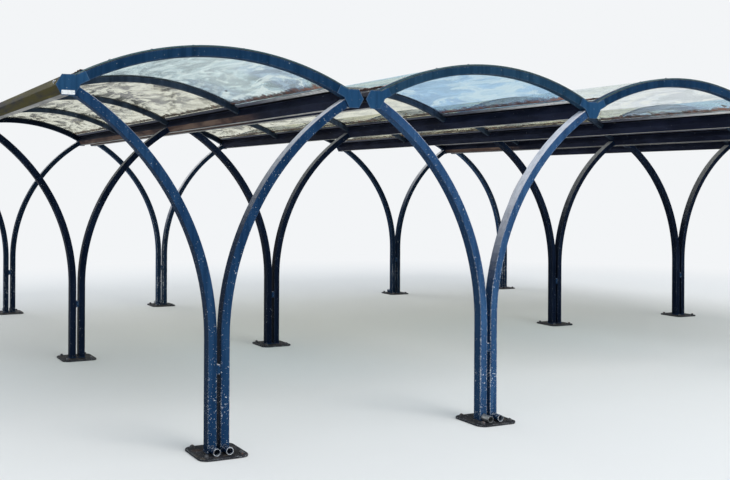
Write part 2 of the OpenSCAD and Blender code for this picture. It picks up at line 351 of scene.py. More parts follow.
def gutter_steel(name, paint, faded, chip, axis, outside, marked):
    """Dark gutter paint: grimy outside, painted brown bounce light on the lower slopes, pale below, painted
    light on the rim by the sheets and painted shade under the flanges.
    """
    s = Surface(name, paint)
    beside = s.axis("X") - axis
    reach = s.length(s.node("ShaderNodeCombineXYZ", (beside, 0.0, s.axis("Z") - GUTTER_Z)))
    clouds = s.cloud(1.0, 4.0, 0.6, s.stretched((8.0, 2.2, 8.0)))
    wash = s.cloud(1.0, 4.0, 0.62, s.stretched((14.0, 0.9, 14.0)))
    fine = s.cloud(40.0, 4.0, 0.65)
    corner = s.edge(0.007)
    across, up, along = s.facing("X"), s.facing("Z"), s.axis("Y")
    s.coat(clouds.between(0.38, 0.64), faded)
    if outside:
        grime = (across * outside).between(0.3, 0.7) * (wash * 0.5 + clouds * 0.5).between(0.34, 0.52)
        s.coat(grime * 0.92, srgb(74, 68, 24))
        s.coat(grime * wash.between(0.54, 0.66) * 0.5, srgb(112, 104, 50))
    # Painted bounce light: a brown glow on the lower slopes, along the given spans.
    if marked:
        bounce_slope = up.between(-0.62, -0.42, 0.0, 1.0) * up.between(-0.42, -0.30, 1.0, 0.0)
        brown = bounce_slope * along.between(*marked) * clouds.between(0.34, 0.58, 0.35, 1.0)
        s.coat(brown, srgb(118, 92, 78))
        s.coat(brown * wash.between(0.50, 0.62) * 0.6, srgb(158, 134, 118))
    under = up.between(-0.97, -0.92, 1.0, 0.0) * clouds.between(0.32, 0.58, 0.55, 1.0)
    s.coat(under * 0.85, srgb(186, 184, 180))
    inward = (beside * across).between(-0.001, 0.006, 1.0, 0.0)
    s.coat(up.between(0.25, 0.7) * inward * clouds.between(0.34, 0.55, 0.3, 0.9), srgb(72, 64, 54))
    # Painted shade: the underside of the flange is near-black.
    flange_shade = reach.between(GUTTER_SIDE + 0.003, GUTTER_SIDE + 0.007) * up.between(-0.2, 0.1, 1.0, 0.0)
    s.coat(flange_shade * 0.96, srgb(6, 6, 13))
    # Painted light: the outer rim of the flange underside is pale, brightest near the front.
    rim = flange_shade * reach.between(GUTTER_SIDE + 0.020, GUTTER_SIDE + 0.027)
    near = along.between(FRONT_Y + 0.20, FRONT_Y + 1.60, 1.0, 0.0)
    pale = s.mix(near, srgb(104, 106, 120), srgb(253, 252, 250))
    s.coat(rim * (wash * 0.6 + fine * 0.4).between(0.38, 0.56, 0.45, 1.0), pale)
    # Lighter folds: partly rubbed paint, partly a painted highlight.
    s.coat(corner * (wash * 0.5 + fine * 0.5).between(0.40, 0.60, 0.1, 0.8) * 0.6, srgb(112, 116, 126))
    s.coat((fine + corner * 0.05).between(0.72, 0.74), chip)
    return s.finish(0.5 + clouds * 0.15 + flange_shade * 0.2, (fine * 0.3 + wash * 0.2, 0.001, 0.5), {"IOR": 1.10})


def dark_base_steel(name, paint, rubbed):
    """Dark foot plates, rusty in patches, with bright worn corners."""
    s = Surface(name, paint)
    clouds = s.cloud(7.0, 4.0)
    speckle = s.cloud(60.0, 4.0, 0.65)
    corner = s.edge(0.008)
    rust = (clouds * 0.5 + speckle * 0.5 + corner * 0.05).between(0.57, 0.64)
    bare = (speckle + corner * 0.24).between(0.60, 0.68)
    dirt = s.cloud(16.0, 5.0, 0.6).between(0.54, 0.68)
    s.coat(clouds.between(0.38, 0.64), srgb(44, 45, 50))
    s.coat(rust * 0.6, srgb(84, 58, 42))
    s.coat(bare * 0.85, rubbed)
    s.coat(dirt * s.facing("Z").between(0.5, 0.9) * 0.45, srgb(108, 98, 86))
    rough = 0.62 + clouds * 0.2 - bare * 0.2
    return s.finish(rough, (speckle * 0.6 + rust * 0.4, 0.0015, 0.6), {"IOR": 1.15})


def zinc_steel(name, bright, dull, rust):
    """Zinc coat with crystal patches, dulled and a little rusty."""
    s = Surface(name, bright)
    cells = s.node("ShaderNodeTexVoronoi", {"Vector": s.place(), "Scale": 60.0}, "Color")
    patch = s.node("ShaderNodeSeparateColor", (cells,))
    clouds = s.cloud(18.0, 4.0)
    stain = s.cloud(34.0, 4.0, 0.62).between(0.56, 0.68) * rust
    s.coat(patch * 0.5 + clouds.between(0.35, 0.65) * 0.5, dull)
    s.coat(stain, srgb(124, 78, 50))
    rough = 0.36 + patch * 0.16 + stain * 0.3
    return s.finish(rough, (clouds + patch * 0.2, 0.0006, 0.4), {"Metallic": 0.75 - stain * 0.6})


def painted_weld(name, paint, faded):
    """Weld bead with its ripples, under the paint."""
    s = Surface(name, paint)
    ripple = s.cloud(260.0, 2.0, 0.5)
    clouds = s.cloud(24.0, 4.0)
    stain = clouds.between(0.62, 0.68) * 0.6
    s.coat(clouds.between(0.4, 0.65), faded)
    s.coat(ripple.between(0.62, 0.72) * 0.35, srgb(150, 160, 168))
    s.coat(stain, srgb(104, 68, 46))
    return s.finish(0.42 + stain * 0.3, (ripple, 0.002, 0.8), {"IOR": 1.12})


def white_plate(name, colour):
    """White enamel of the bare label plate, with rain marks."""
    s = Surface(name, colour)
    marks = s.cloud(1.0, 4.0, 0.6, s.stretched((90.0, 20.0, 22.0)))
    s.coat(marks.between(0.48, 0.70) * 0.4, srgb(150, 152, 146))
    return s.finish(0.38 + marks * 0.2, (marks, 0.0004, 0.3))


def rubber(name, colour):
    """Weathered rubber with pale bloom."""
    s = Surface(name, colour)
    bloom = s.cloud(22.0, 4.0, 0.6)
    s.coat(bloom.between(0.45, 0.70) * 0.6, srgb(70, 71, 70))
    return s.finish(0.7 + bloom * 0.15, (s.cloud(180.0, 2.0), 0.0008, 0.4))


def clear_sheet(name, centre, shady, clear, tints, marked, solid):
    """Weathered clear plastic: each bay has its own tint, the blue of the front bays painted sky, with dried
    rain swirls that hold painted reflections, algae and dust.
    """
    s = Surface(name, tints[0])
    beside = s.axis("X") - centre
    across = abs(beside)
    dull = (beside * shady).between(0.18, 0.62) if shady else 0.0
    bay = [s.axis("Y").above(y) for y in RIB_Y]
    dirty, density = marked[0], solid[0]
    for mask, tint, share, before, thick, thin in zip(bay, tints[1:], marked[1:], marked, solid[1:], solid):
        s.coat(mask, tint)
        dirty = mask * (share - before) + dirty
        density = mask * (thick - thin) + density
    flow = s.stretched((1.6, 0.40, 1.8), (centre * 3.1, 0, 0))
    marble = s.cloud(2.0, 5.0, 0.56, flow, 2.4)
    swirl = s.cloud(4.2, 4.0, 0.6, flow, 1.8)
    patches = s.cloud(1.1, 3.0, 0.5, s.stretched((1.0, 1.3, 1.0), (3.0, centre, 0)))
    fine = s.cloud(26.0, 4.0, 0.65)
    runs = s.cloud(1.0, 3.0, 0.55, s.stretched((1.4, 17.0, 1.4)))
    haze_and_reflection = s.cloud(1.3, 2.0, 0.5, s.stretched((1.0, 0.7, 1.0), (centre, 9.0, 4.0)))
    haze_and_reflection = haze_and_reflection.between(0.43, 0.53, 0.131525, 0.438416)
    # Light swirls and haze: partly dried marks, partly painted reflections of the sky; they also clear the
    # sheet.
    bright = (haze_and_reflection * 0.8).most(marble.between(0.54, 0.57) * 0.6).most(swirl.between(0.55, 0.58) * 0.8)
    gloom = marble.between(0.44, 0.46, 1.0, 0.0).most(swirl.between(0.44, 0.46, 1.0, 0.0))
    if shady:
        s.coat(dull * 0.7, srgb(190, 192, 176))
    s.coat(patches.between(0.44, 0.60) * dirty, srgb(222, 210, 180))
    # Painted sky: bluish patches on the cleaner bays.
    s.coat((1.0 - dirty) * patches.between(0.40, 0.48, 1.0, 0.0) * 0.65, srgb(150, 172, 224))
    # Painted reflections over the dried marks, in the light swirls and haze.
    s.coat(marble.between(0.53, 0.56) * (0.30 + 0.40 * dirty), srgb(240, 242, 236))
    s.coat(marble.between(0.43, 0.45, 1.0, 0.0) * (0.10 + 0.80 * dirty), srgb(50, 46, 34))
    s.coat(haze_and_reflection * (0.30 + 0.35 * dirty), srgb(246, 246, 238))
    s.coat(swirl.between(0.56, 0.58) * 0.45, srgb(248, 250, 248))
    s.coat(swirl.between(0.43, 0.45, 1.0, 0.0) * (0.10 + 0.75 * dirty), srgb(64, 60, 46))
    rim = SPAN / 2 - GUTTER_FACE * COS30
    foot = across.between(rim - 0.16, rim - 0.06)
    algae = (foot * 0.4 * dirty + fine * 0.4 + runs * 0.25).between(0.68, 1.0)
    # A clearer strip along the rim behind the front bay, with painted light seen through it.
    clear_rim_light = across.between(rim - 0.20, rim - 0.08) * bay[0]
    specks = fine.between(0.70, 0.74)
    s.coat(clear_rim_light * 0.6, srgb(232, 226, 204))
    s.coat(algae * 0.8, srgb(82, 72, 56))
    s.coat(specks * (0.15 + 0.6 * dirty), srgb(60, 52, 42))
    ragged = across - s.cloud(14.0, 5.0, 0.75).between(0.34, 0.66, 0.0, 0.050) - bay[0] * 0.014
    mud = ragged.between(rim - 0.120, rim - 0.086) * across.between(rim - 0.053, rim - 0.049, 1.0, 0.0)
    rot = s.mix(fine.between(0.42, 0.58), srgb(46, 26, 23), srgb(118, 70, 56))
    rot = s.mix(s.axis("Y").between(FRONT_Y + 0.1, FRONT_Y + 0.8, 0.7, 0.0), rot, srgb(206, 146, 124))
    s.coat(mud * 0.95, rot)
    cut = abs(s.facing("Y")).between(0.8, 0.95)
    s.coat(cut, srgb(74, 116, 118))
    density = (density - dirty * 0.10 + gloom * (dirty * 0.62 + 0.04)) * (1.0 - bright * 0.85)
    density = density * (1.0 - clear_rim_light * 0.55) + algae * 0.2 + specks * 0.1 + mud * 0.8
    density = density.least(0.96).most(cut * 0.9)
    rough = 0.14 + patches.between(0.4, 0.7) * dirty * 0.25 + algae * 0.3 + mud * 0.4
    skin = s.skin(rough, (marble + patches * 0.15, 0.02, 0.3), {"IOR": 1.3})
    plain = bay[0].most(bright * 0.5)
    if shady:
        plain = plain.most(dull)
    # The front bay's see-through tint carries painted sky blue; the other bays and the light marks see through
    # in white.
    seen = s.blended(plain, s.clear(clear), s.clear(srgb(246, 246, 238)))
    return s.shown(s.blended(density, seen, skin))


def litter(name, dark, light):
    """Rotted leaves and seeds."""
    s = Surface(name, dark)
    crumbs = s.cloud(85.0, 4.0, 0.7)
    s.coat(crumbs.between(0.36, 0.66), light)
    s.coat(s.cloud(7.0, 3.0).between(0.50, 0.66) * 0.5, srgb(58, 60, 40))
    return s.finish(0.92, (crumbs, 0.006, 0.9), {"Specular IOR Level": 0.2})


def dry_leaf(name, dark, light):
    """Dry leaves, each with its own brown."""
    s = Surface(name, dark)
    own = s.node("ShaderNodeNewGeometry", out="Random Per Island")
    veins = s.cloud(140.0, 3.0)
    s.coat(own * 0.8 + veins * 0.2, light)
    return s.finish(0.8, (veins, 0.001, 0.6), {"Specular IOR Level": 0.25})


def pale_floor(name, colour, backdrop):
    """Floor that fades into the backdrop far out and is clear from below."""
    s = Surface(name, colour)
    s.coat(s.cloud(3.0, 3.0) * 0.12, scaled(colour, 0.9))
    near = s.skin(0.9, None, {"Specular IOR Level": 0.1})
    glows = [s.node("ShaderNodeEmission", {"Color": backdrop, "Strength": level}) for level in (0.6, 1.0)]
    away = s.blended(s.ray("Is Camera Ray"), *glows)
    both = s.blended(s.length(s.place()).between(6.6, 11.5), near, away)
    below = s.node("ShaderNodeNewGeometry", out="Backfacing")
    return s.shown(s.blended(below, both, s.clear((1.0, 1.0, 1.0, 1.0))))


def studio_light(name, backdrop):
    """World that the eye and reflections see as the backdrop. Its light is stronger from above."""
    s = Surface(name, None, "worlds")
    seen = s.ray("Is Camera Ray").most(s.ray("Is Transmission Ray")).most(s.ray("Is Glossy Ray"))
    where = s.node("ShaderNodeTexCoord", out="Generated")
    up = s.node("ShaderNodeSeparateXYZ", (where,), "Z")
    strength = s.node("ShaderNodeMapRange", (up, 0.0, 0.9, 0.42, 1.0))
    soft = s.node("ShaderNodeBackground", {"Color": srgb(232, 240, 250), "Strength": strength})
    pale = s.node("ShaderNodeBackground", {"Color": backdrop, "Strength": 1.0})
    return s.shown(s.blended(seen, soft, pale), "ShaderNodeOutputWorld")


# Modelling helpers


def linked(name, data):
    """New object in the scene."""
    made = bpy.data.objects.new(name, data)
    bpy.context.scene.collection.objects.link(made)
    return made


def only(*pieces):
    """Selects these pieces and nothing else, with the first one active."""
    bpy.ops.object.select_all(action="DESELECT")
    for piece in pieces:
        piece.select_set(True)
    bpy.context.view_layer.objects.active = pieces[0]


def primitive(shape, **sizes):
    """New primitive, with nothing else selected."""
    bpy.ops.object.select_all(action="DESELECT")
    getattr(bpy.ops.mesh, f"primitive_{shape}_add")(**sizes)
    return bpy.context.object


def modified(piece, name, kind, **settings):
    """Adds a modifier to a piece and applies it."""
    modifier = piece.modifiers.new(name, kind)
    for key, value in settings.items():
        setattr(modifier, key, value)
    only(piece)
    bpy.ops.object.modifier_apply(modifier=name)
    return piece


class Editing:
    """Edit mode on one piece, with all of it selected until some parts are chosen by a test."""

    def __init__(self, piece, kind="FACE"):
        self.piece = piece
        self.kind = kind

    def __enter__(self):
        only(self.piece)
        bpy.ops.object.mode_set(mode="EDIT")
        bpy.ops.mesh.select_mode(type=self.kind)
        bpy.ops.mesh.select_all(action="SELECT")
        return self

    def __exit__(self, *problem):
        bpy.ops.object.mode_set(mode="OBJECT")

    def choose(self, test):
        mesh = bmesh.from_edit_mesh(self.piece.data)
        for group in (mesh.verts, mesh.edges, mesh.faces):
            for part in group:
                part.select = False
        parts = {"VERT": mesh.verts, "EDGE": mesh.edges, "FACE": mesh.faces}[self.kind]
        chosen = [part for part in parts if test(part)]
        for part in chosen:
            part.select_set(True)
        mesh.select_flush_mode()
        bmesh.update_edit_mesh(self.piece.data)
        return len(chosen)


def sharp(edge, angle=40):
    return len(edge.link_faces) == 2 and edge.calc_face_angle(0.0) > math.radians(angle)


def looks_up(face):
    return face.normal.z > 0.9


def settle(piece, angle, even=False):
    """Shades a finished piece, and evens out the light on its flats where asked."""
    only(piece)
    bpy.ops.object.shade_smooth_by_angle(angle=math.radians(angle))
    return modified(piece, "Even flats", "WEIGHTED_NORMAL", keep_sharp=True) if even else piece


def coated(mesh, look):
    mesh.materials.clear()
    mesh.materials.append(look)


def ride(piece, name, look, nodes=()):
    """Names a finished piece, paints it and puts it on the shelter."""
    piece.name = name
    piece.data.name = name
    coated(piece.data, look)
    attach(piece, "root")
    if nodes:
        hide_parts(*nodes)


def bevel(width, segments, affect="EDGES"):
    bpy.ops.mesh.bevel(offset=width, segments=segments, profile=0.5, affect=affect, clamp_overlap=False)


def outward(piece):
    """Turns all the faces of a piece outwards."""
    with Editing(piece):
        bpy.ops.mesh.normals_make_consistent(inside=False)


def rounded_copy(node, word, width, segments, look, test=None):
    """Copy of a plain node with its sharp edges rounded, or only those that pass a test."""
    name = f"{word}_{node}"
    piece = linked(name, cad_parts[node].data.copy())
    with Editing(piece, "EDGE") as edit:
        bpy.ops.mesh.remove_doubles(threshold=0.00002)
        bpy.ops.mesh.dissolve_limited(angle_limit=math.radians(0.4))
        edit.choose(lambda edge: sharp(edge) and (test is None or test(edge)))
        bevel(width, segments)
    ride(settle(piece, 35, even=True), name, look, (node,))


def joined(*parts):
    only(*parts)
    if len(parts) > 1:
        bpy.ops.object.join()
    return parts[0]


def copies(model, places):
    """Copies of one modelled piece, each with its own mesh, joined into one piece."""
    made = []
    for place in places:
        made.append(linked("copy", model.data.copy()))
        made[-1].matrix_world = place
    bpy.data.objects.remove(model)
    only(*made)
    bpy.ops.object.transform_apply()
    return joined(*made)


def placed(origin, right, up):
    """Matrix that puts local X along right, local Z along up, and the origin in its place."""
    right, up = Vector(right).normalized(), Vector(up).normalized()
    deep = up.cross(right)
    turn = Matrix((right, deep, up)).transposed().to_4x4()
    return Matrix.Translation(Vector(origin)) @ turn


def disc(radius, height, sides, low=0.0, rounding=None):
    """Upright cylinder that stands on low. Rounding is the width and the segments of its upper rim."""
    made = primitive(
        "cylinder", vertices=sides, radius=radius, depth=height, end_fill_type="NGON",
        location=(0, 0, low + height / 2))
    bpy.ops.object.transform_apply()
    if rounding:
        rim(made, *rounding)
    return made


def rim(piece, width, segments, top=True):
    """Rounds or chamfers the rim of a cylinder, at the top only or at both ends."""
    height = max(v.co.z for v in piece.data.vertices)

    def on_rim(edge):
        one, other = (v.co.z for v in edge.verts)
        return sharp(edge) and abs(one - other) < 1e-6 and (one > height - 1e-5 or not top)

    with Editing(piece, "EDGE") as edit:
        edit.choose(on_rim)
        bevel(width, segments)


def step(inward, up):
    """Insets the chosen face and then lifts it, or sinks it."""
    bpy.ops.mesh.inset(thickness=inward)
    bpy.ops.transform.translate(value=(0, 0, up))


def hex_bolt(across, head, washer_r, washer_t):
    """Hexagon head on a washer, its top face dished a little."""
    washer = disc(washer_r, washer_t, 20, rounding=(washer_t * 0.35, 2))
    bolt = disc(across / 2 / COS30, head, 6, washer_t)
    with Editing(bolt) as edit:
        edit.choose(looks_up)
        step(across * 0.05, head * 0.14)
        step(across * 0.12, -head * 0.06)
    rim(bolt, across * 0.02, 1, top=False)
    return joined(bolt, washer)


def button_head(radius, height, washer_r, washer_t):
    """Low domed screw head on a washer, with its socket."""
    washer = disc(washer_r, washer_t, 12, rounding=(washer_t * 0.4, 1))
    head = disc(radius, height, 12, washer_t)
    top = washer_t + height
    with Editing(head) as edit:
        edit.choose(looks_up)
        bevel(height * 0.7, 2)
        edit.choose(lambda face: looks_up(face) and face.calc_center_median().z > top - 1e-4)
        step(radius * 0.12, -height * 0.45)
    return joined(head, washer)


def weld_ring(width, depth, thick):
    """Bead of weld round a box tube, flat in the plane of the joint."""
    ring = primitive("plane", size=1.0)
    ring.scale = (width, depth, 1)
    bpy.ops.object.transform_apply()
    with Editing(ring, "VERT"):
        bevel(WELD_CORNER, 3, "VERTICES")
        bpy.ops.mesh.delete(type="ONLY_FACE")
        bpy.ops.mesh.select_all(action="SELECT")
        bpy.ops.mesh.subdivide(number_cuts=2)
    only(ring)
    bpy.ops.object.convert(target="CURVE")
    curve = bpy.context.object.data
    curve.dimensions = "3D"
    curve.bevel_depth = thick
    curve.bevel_resolution = 1
    bpy.ops.object.convert(target="MESH")
    ring = bpy.context.object
    for v in ring.data.vertices:
        v.co.z *= 1 + 0.16 * noise.noise(v.co * 90)
    return ring


def gutter_point(x, y, side, upper, out=0.0):
    """Point on the middle of a sloping face of a gutter, or out from it, and the way that the face looks."""
    look = Vector((side * COS30, 0, SIN30 if upper else -SIN30))
    return Vector((x, y, GUTTER_Z)) + look * (GUTTER_FACE + out), look


def roof_point(vault, y, angle, radius):
    """Point over a roof, by its angle from upright and its distance from the curve's axis, and the way out."""
    out = Vector((math.sin(angle), 0, math.cos(angle)))
    return Vector((VAULT_X[vault], y, ARC_Z)) + out * radius, out


def roof_angle(side, length):
    """Angle from upright of a place on the roof, by its distance from the gutter axis along the curve."""
    return side * (math.radians(30) - length / ARC_R)


# Settings


def length(name, description, default, least, most):
    return bpy.props.FloatProperty(
        name=name, description=description, default=default, min=least, max=most, unit="LENGTH")


def colour(name, description, default):
    return bpy.props.FloatVectorProperty(
        name=name, description=description, subtype="COLOR", size=4, min=0, max=1, default=srgb(*default))


class ShelterSettings(bpy.types.PropertyGroup):
    """Sizes and colours of the finish."""

    tube_round: length(
        "Tube corners", "Radius of the long corners of leg tubes and arches", 0.005, 0.001, 0.008)
    plate_round: length("Plate corners", "Rounding of the rims of plates and blocks", 0.0014, 0.0005, 0.002)
    weld_size: length("Weld size", "Radius of a bead of weld", 0.0045, 0.002, 0.007)
    litter_height: length(
        "Litter height", "Height of the ridge of leaves along the edges of the sheets", 0.010, 0.0, 0.03)
    leaf_count: bpy.props.IntProperty(
        name="Leaves", description="Number of loose dry leaves on the roof", default=170, min=0, max=1000)
    leg_colour: colour("Leg paint", "Paint of the legs", (24, 52, 84))
    leg_faded: colour("Leg paint, faded", "Paint of the legs where the weather has faded it", (42, 74, 108))
    arch_colour: colour("Arch paint", "Paint of the arches", (17, 45, 72))
    rib_colour: colour("Rib paint", "Paint of the inner ribs", (42, 53, 68))
    plate_colour: colour("Plate paint", "Paint of the end plates", (33, 68, 102))
    gutter_colour: colour("Gutter paint", "Paint of the gutters", (24, 28, 44))
    chip_colour: colour("Chips", "Pale undercoat that shows where the paint has chipped", (222, 228, 232))
    base_colour: colour("Foot plates", "Dark steel of the foot plates", (30, 31, 35))
    floor_colour: colour("Floor", "Colour of the floor", (226, 226, 224))
    backdrop_colour: colour("Background", "Colour behind the shelter", (243, 245, 247))


FINISHES = {}


def material(name, maker, *values, **options):
    """Material by its name, made the first time that it is asked for."""
    if name not in FINISHES:
        FINISHES[name] = maker("weathered_" + name, *values, **options)
    return FINISHES[name]


def leg_paint(settings, vault=1, row="front"):
    """Leg paint: the sun has faded vaults 2 and 5 most, and the middle row, under the roof, least; the middle
    row's dark paint is partly painted shade.
    """
    paints, chip = (settings.leg_colour, settings.leg_faded), settings.chip_colour
    # The middle row's dark paint is partly painted shade from the roof.
    if row == "middle":
        return material(
            "leg_paint_middle", painted_steel, srgb(14, 24, 42), srgb(28, 40, 62), chip, wear=0.6, chips=0.03,
            dust=0.2, bleach=(0.30, 0.2, 0.75), edges=0.3)
    # Painted shade on the faces of the rear row that look into the shelter.
    sheltered = 0.75 if row == "rear" else 0.0
    if vault in SUNNY:
        return material(
            f"leg_paint_{row}_sunny", painted_steel, *(scaled(paint, 1.55, 0.008) for paint in paints), chip,
            wear=1.4, knocked=1.25, dust=0.2, bleach=(0.95, 0.10, 0.62), edges=0.75, sheltered=sheltered,
            shade=0.6)
    return material(
        f"leg_paint_{row}_plain", painted_steel, *paints, chip, knocked=0.55, dust=0.2,
        bleach=(0.9, 0.30, 0.88), edges=0.3, sheltered=sheltered, shade=0.8)


def weld_paint(settings):
    return material("weld_paint", painted_weld, settings.arch_colour, settings.leg_colour)


def bolt_zinc():
    return material("bolt_zinc", zinc_steel, srgb(168, 172, 176), srgb(112, 116, 120), 0.5)


# Operators, one for each group of like pieces


class SHELTER_OT_legs(bpy.types.Operator):
    """Rounds the bent leg tubes and the blocks between them, and paints them"""

    bl_idname = "shelter.legs"
    bl_label = "Legs"

    def execute(self, context):
        settings = context.scene.shelter
        for vault, row in LEG_PAIRS:
            paint = leg_paint(settings, vault, row)
            rounded_copy(f"legs_vault{vault}_{row}", "bent", settings.tube_round, 3, paint)
        rounded_copy("leg_spacers", "welded", BLOCK_ROUND, 2, leg_paint(settings))
        return {"FINISHED"}


class SHELTER_OT_arches(bpy.types.Operator):
    """Rounds the end arches and the inner ribs, and paints them"""

    bl_idname = "shelter.arches"
    bl_label = "Arches and ribs"

    def execute(self, context):
        settings = context.scene.shelter
        chip = settings.chip_colour
        # Both arch paints carry painted shade on the faces that look into the shelter.
        plain = material(
            "arch_paint", painted_steel, settings.arch_colour, srgb(34, 64, 94), chip, wear=0.6, chips=0.035,
            edges=0.4, sheltered=0.95)
        sunny = material(
            "arch_paint_sunny", painted_steel, srgb(27, 55, 78), srgb(48, 78, 102), chip, wear=0.7, chips=0.03,
            sheltered=0.95)
        rib = material(
            "rib_paint", painted_steel, settings.rib_colour, srgb(60, 72, 88), chip, wear=0.5, chips=0.05,
            edges=0.4)
        for vault in VAULTS:
            arch = sunny if vault in SUNNY else plain
            rounded_copy(f"end_arches_vault{vault}", "bent", settings.tube_round, 3, arch)
            rounded_copy(f"ribs_vault{vault}", "bent", RIB_ROUND, 2, rib)
        return {"FINISHED"}


class SHELTER_OT_gutters(bpy.types.Operator):
    """Rounds the folds of the gutters and the blocks between them, and paints them with grime"""

    bl_idname = "shelter.gutters"
    bl_label = "Gutters"

    def execute(self, context):
        settings = context.scene.shelter
        chip = settings.chip_colour
        outside = {1: -1, 8: 1}
        # Spans along gutters 2, 3, 6 and 7 that carry painted brown bounce light on the lower slopes.
        marked = {2: (-2.4, -1.9), 3: (-2.0, -1.4), 6: (1.6, 2.4), 7: (-0.5, 0.4)}
        for n, x in GUTTER_X.items():
            finish = material(
                f"gutter_{n}_paint", gutter_steel, settings.gutter_colour, srgb(38, 43, 62), chip, x,
                outside.get(n), marked.get(n))

            def fold(edge, x=x):
                one, other = (v.co for v in edge.verts)
                return abs(one.y - other.y) > 1.0 and all(
                    abs(math.hypot(co.x - x, co.z - GUTTER_Z) - GUTTER_SIDE) < HAIR / 2
                    and co.z < GUTTER_Z + 0.01 for co in (one, other))

            rounded_copy(f"gutter_{n}", "folded", FOLD_ROUND, 3, finish, fold)
        block = material(
            "coupling_paint", painted_steel, srgb(14, 16, 22), srgb(28, 30, 36), chip, wear=0.4, chips=0.04,
            edges=0.2)
        rounded_copy("gutter_couplings", "welded", COUPLING_ROUND, 2, block)
        return {"FINISHED"}


class SHELTER_OT_end_plates(bpy.types.Operator):
    """Rounds the hexagonal end plates and the bare label plate"""

    bl_idname = "shelter.end_plates"
    bl_label = "End plates"

    def execute(self, context):
        settings = context.scene.shelter
        paint = material(
            "plate_paint", painted_steel, settings.plate_colour, srgb(46, 84, 118), settings.chip_colour,
            wear=0.5, chips=0.045, dust=0.25, edges=0.35)
        for end in ("front", "rear"):
            rounded_copy(f"{end}_end_plates", "cut", settings.plate_round, 2, paint)

        def through(edge):
            return abs(edge.verts[0].co.y - edge.verts[1].co.y) > HAIR / 2

        white = material("label_white", white_plate, srgb(226, 231, 234))
        rounded_copy("label_plate", "bare", LABEL_ROUND, 3, white, through)
        low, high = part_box("label_plate")
        places = [
            placed((x, low.y + RIVET_H * 0.8, (low.z + high.z) / 2), (1, 0, 0), (0, -1, 0))
            for x in (low.x + RIVET_INSET, high.x - RIVET_INSET)]
        rivet = disc(RIVET_R, RIVET_H, 12, rounding=(0.0006, 2))
        ride(copies(rivet, places), "label_rivets", bolt_zinc())
        return {"FINISHED"}


class SHELTER_OT_feet(bpy.types.Operator):
    """Rounds the foot plates and adds a washer, nut and stud at each anchor hole"""

    bl_idname = "shelter.feet"
    bl_label = "Foot plates and anchors"

    def execute(self, context):
        settings = context.scene.shelter
        steel = material("base_steel", dark_base_steel, settings.base_colour, srgb(132, 136, 140))
        rounded_copy("base_plates", "worn", settings.plate_round, 2, steel)
        washer = disc(WASHER_R, WASHER_T, 24, BASE_T, (0.0008, 2))
        nut = disc(NUT_ACROSS / 2 / COS30, NUT_H, 6, BASE_T + WASHER_T)
        with Editing(nut) as edit:
            edit.choose(looks_up)
            step(0.0014, 0.0012)
        rim(nut, 0.0005, 1, top=False)
        stud = disc(STUD_R, BASE_T + STUD_H, 20, rounding=(0.0016, 1))
        anchor = settle(joined(nut, washer, stud), 30)
        chance = random.Random(16)
        places = []
        for vault, row in LEG_PAIRS:
            for sx in SIDES:
                for sy in SIDES:
                    spot = Vector((VAULT_X[vault] + sx * ANCHOR_X, ROW_Y[row] + sy * ANCHOR_Y, 0))
                    turn = Matrix.Rotation(math.radians(chance.uniform(0, 60)), 4, "Z")
                    places.append(Matrix.Translation(spot) @ turn)
        zinc = material("anchor_zinc", zinc_steel, srgb(96, 98, 102), srgb(58, 60, 64), 0.8)
        ride(copies(anchor, places), "anchor_nuts", zinc)
        return {"FINISHED"}


class SHELTER_OT_drains(bpy.types.Operator):
    """Makes the drain pipes at the feet of the front and rear legs, with their collars of weld"""

    bl_idname = "shelter.drains"
    bl_label = "Drain pipes"

    def execute(self, context):
        settings = context.scene.shelter
        painted, zinc = [], []
        for vault in LEG_VAULTS:
            for side in SIDES:
                spots = zinc if (vault, side) in ((2, -1), (4, 1), (5, -1)) else painted
                for y, end in ((FRONT_Y, -1), (REAR_Y, 1)):
                    spots.append(placed((VAULT_X[vault] + side * TUBE_X, y, SPOUT_Z), (1, 0, 0), (0, end, 0)))
        blue = material(
            "spout_paint", painted_steel, srgb(14, 40, 70), srgb(34, 66, 100), settings.chip_colour, wear=1.6,
            chips=-0.02, dust=0.15, edges=0.9)
        grey = material("spout_zinc", zinc_steel, srgb(176, 180, 182), srgb(120, 124, 126), 0.35)
        for places, name, look in ((painted, "painted_spouts", blue), (zinc, "zinc_spouts", grey)):
            ride(copies(self.pipe(), places), name, look, ("rain_spouts",))
        collar = primitive(
            "torus", major_radius=SPOUT_R + 0.001, minor_radius=settings.weld_size * 0.8, major_segments=40,
            minor_segments=8)
        for v in collar.data.vertices:
            swell = 1 + 0.035 * noise.noise(v.co * 120)
            v.co = Vector((v.co.x * swell, v.co.y * swell, v.co.z))
        places = painted + zinc
        ride(copies(settle(collar, 60), places), "spout_welds", weld_paint(settings))
        return {"FINISHED"}

    def pipe(self):
        pipe = disc(SPOUT_R, SPOUT_LEN, 40)
        with Editing(pipe) as edit:
            edit.choose(lambda face: abs(face.normal.z) > 0.9)
            bpy.ops.mesh.inset(thickness=PIPE_WALL, use_individual=True)
            bpy.ops.mesh.delete(type="FACE")
        with Editing(pipe, "EDGE") as edit:
            edit.choose(lambda edge: len(edge.link_faces) == 1)
            bpy.ops.mesh.bridge_edge_loops()
        rim(pipe, 0.0011, 2)
        outward(pipe)
        return settle(pipe, 40, even=True)


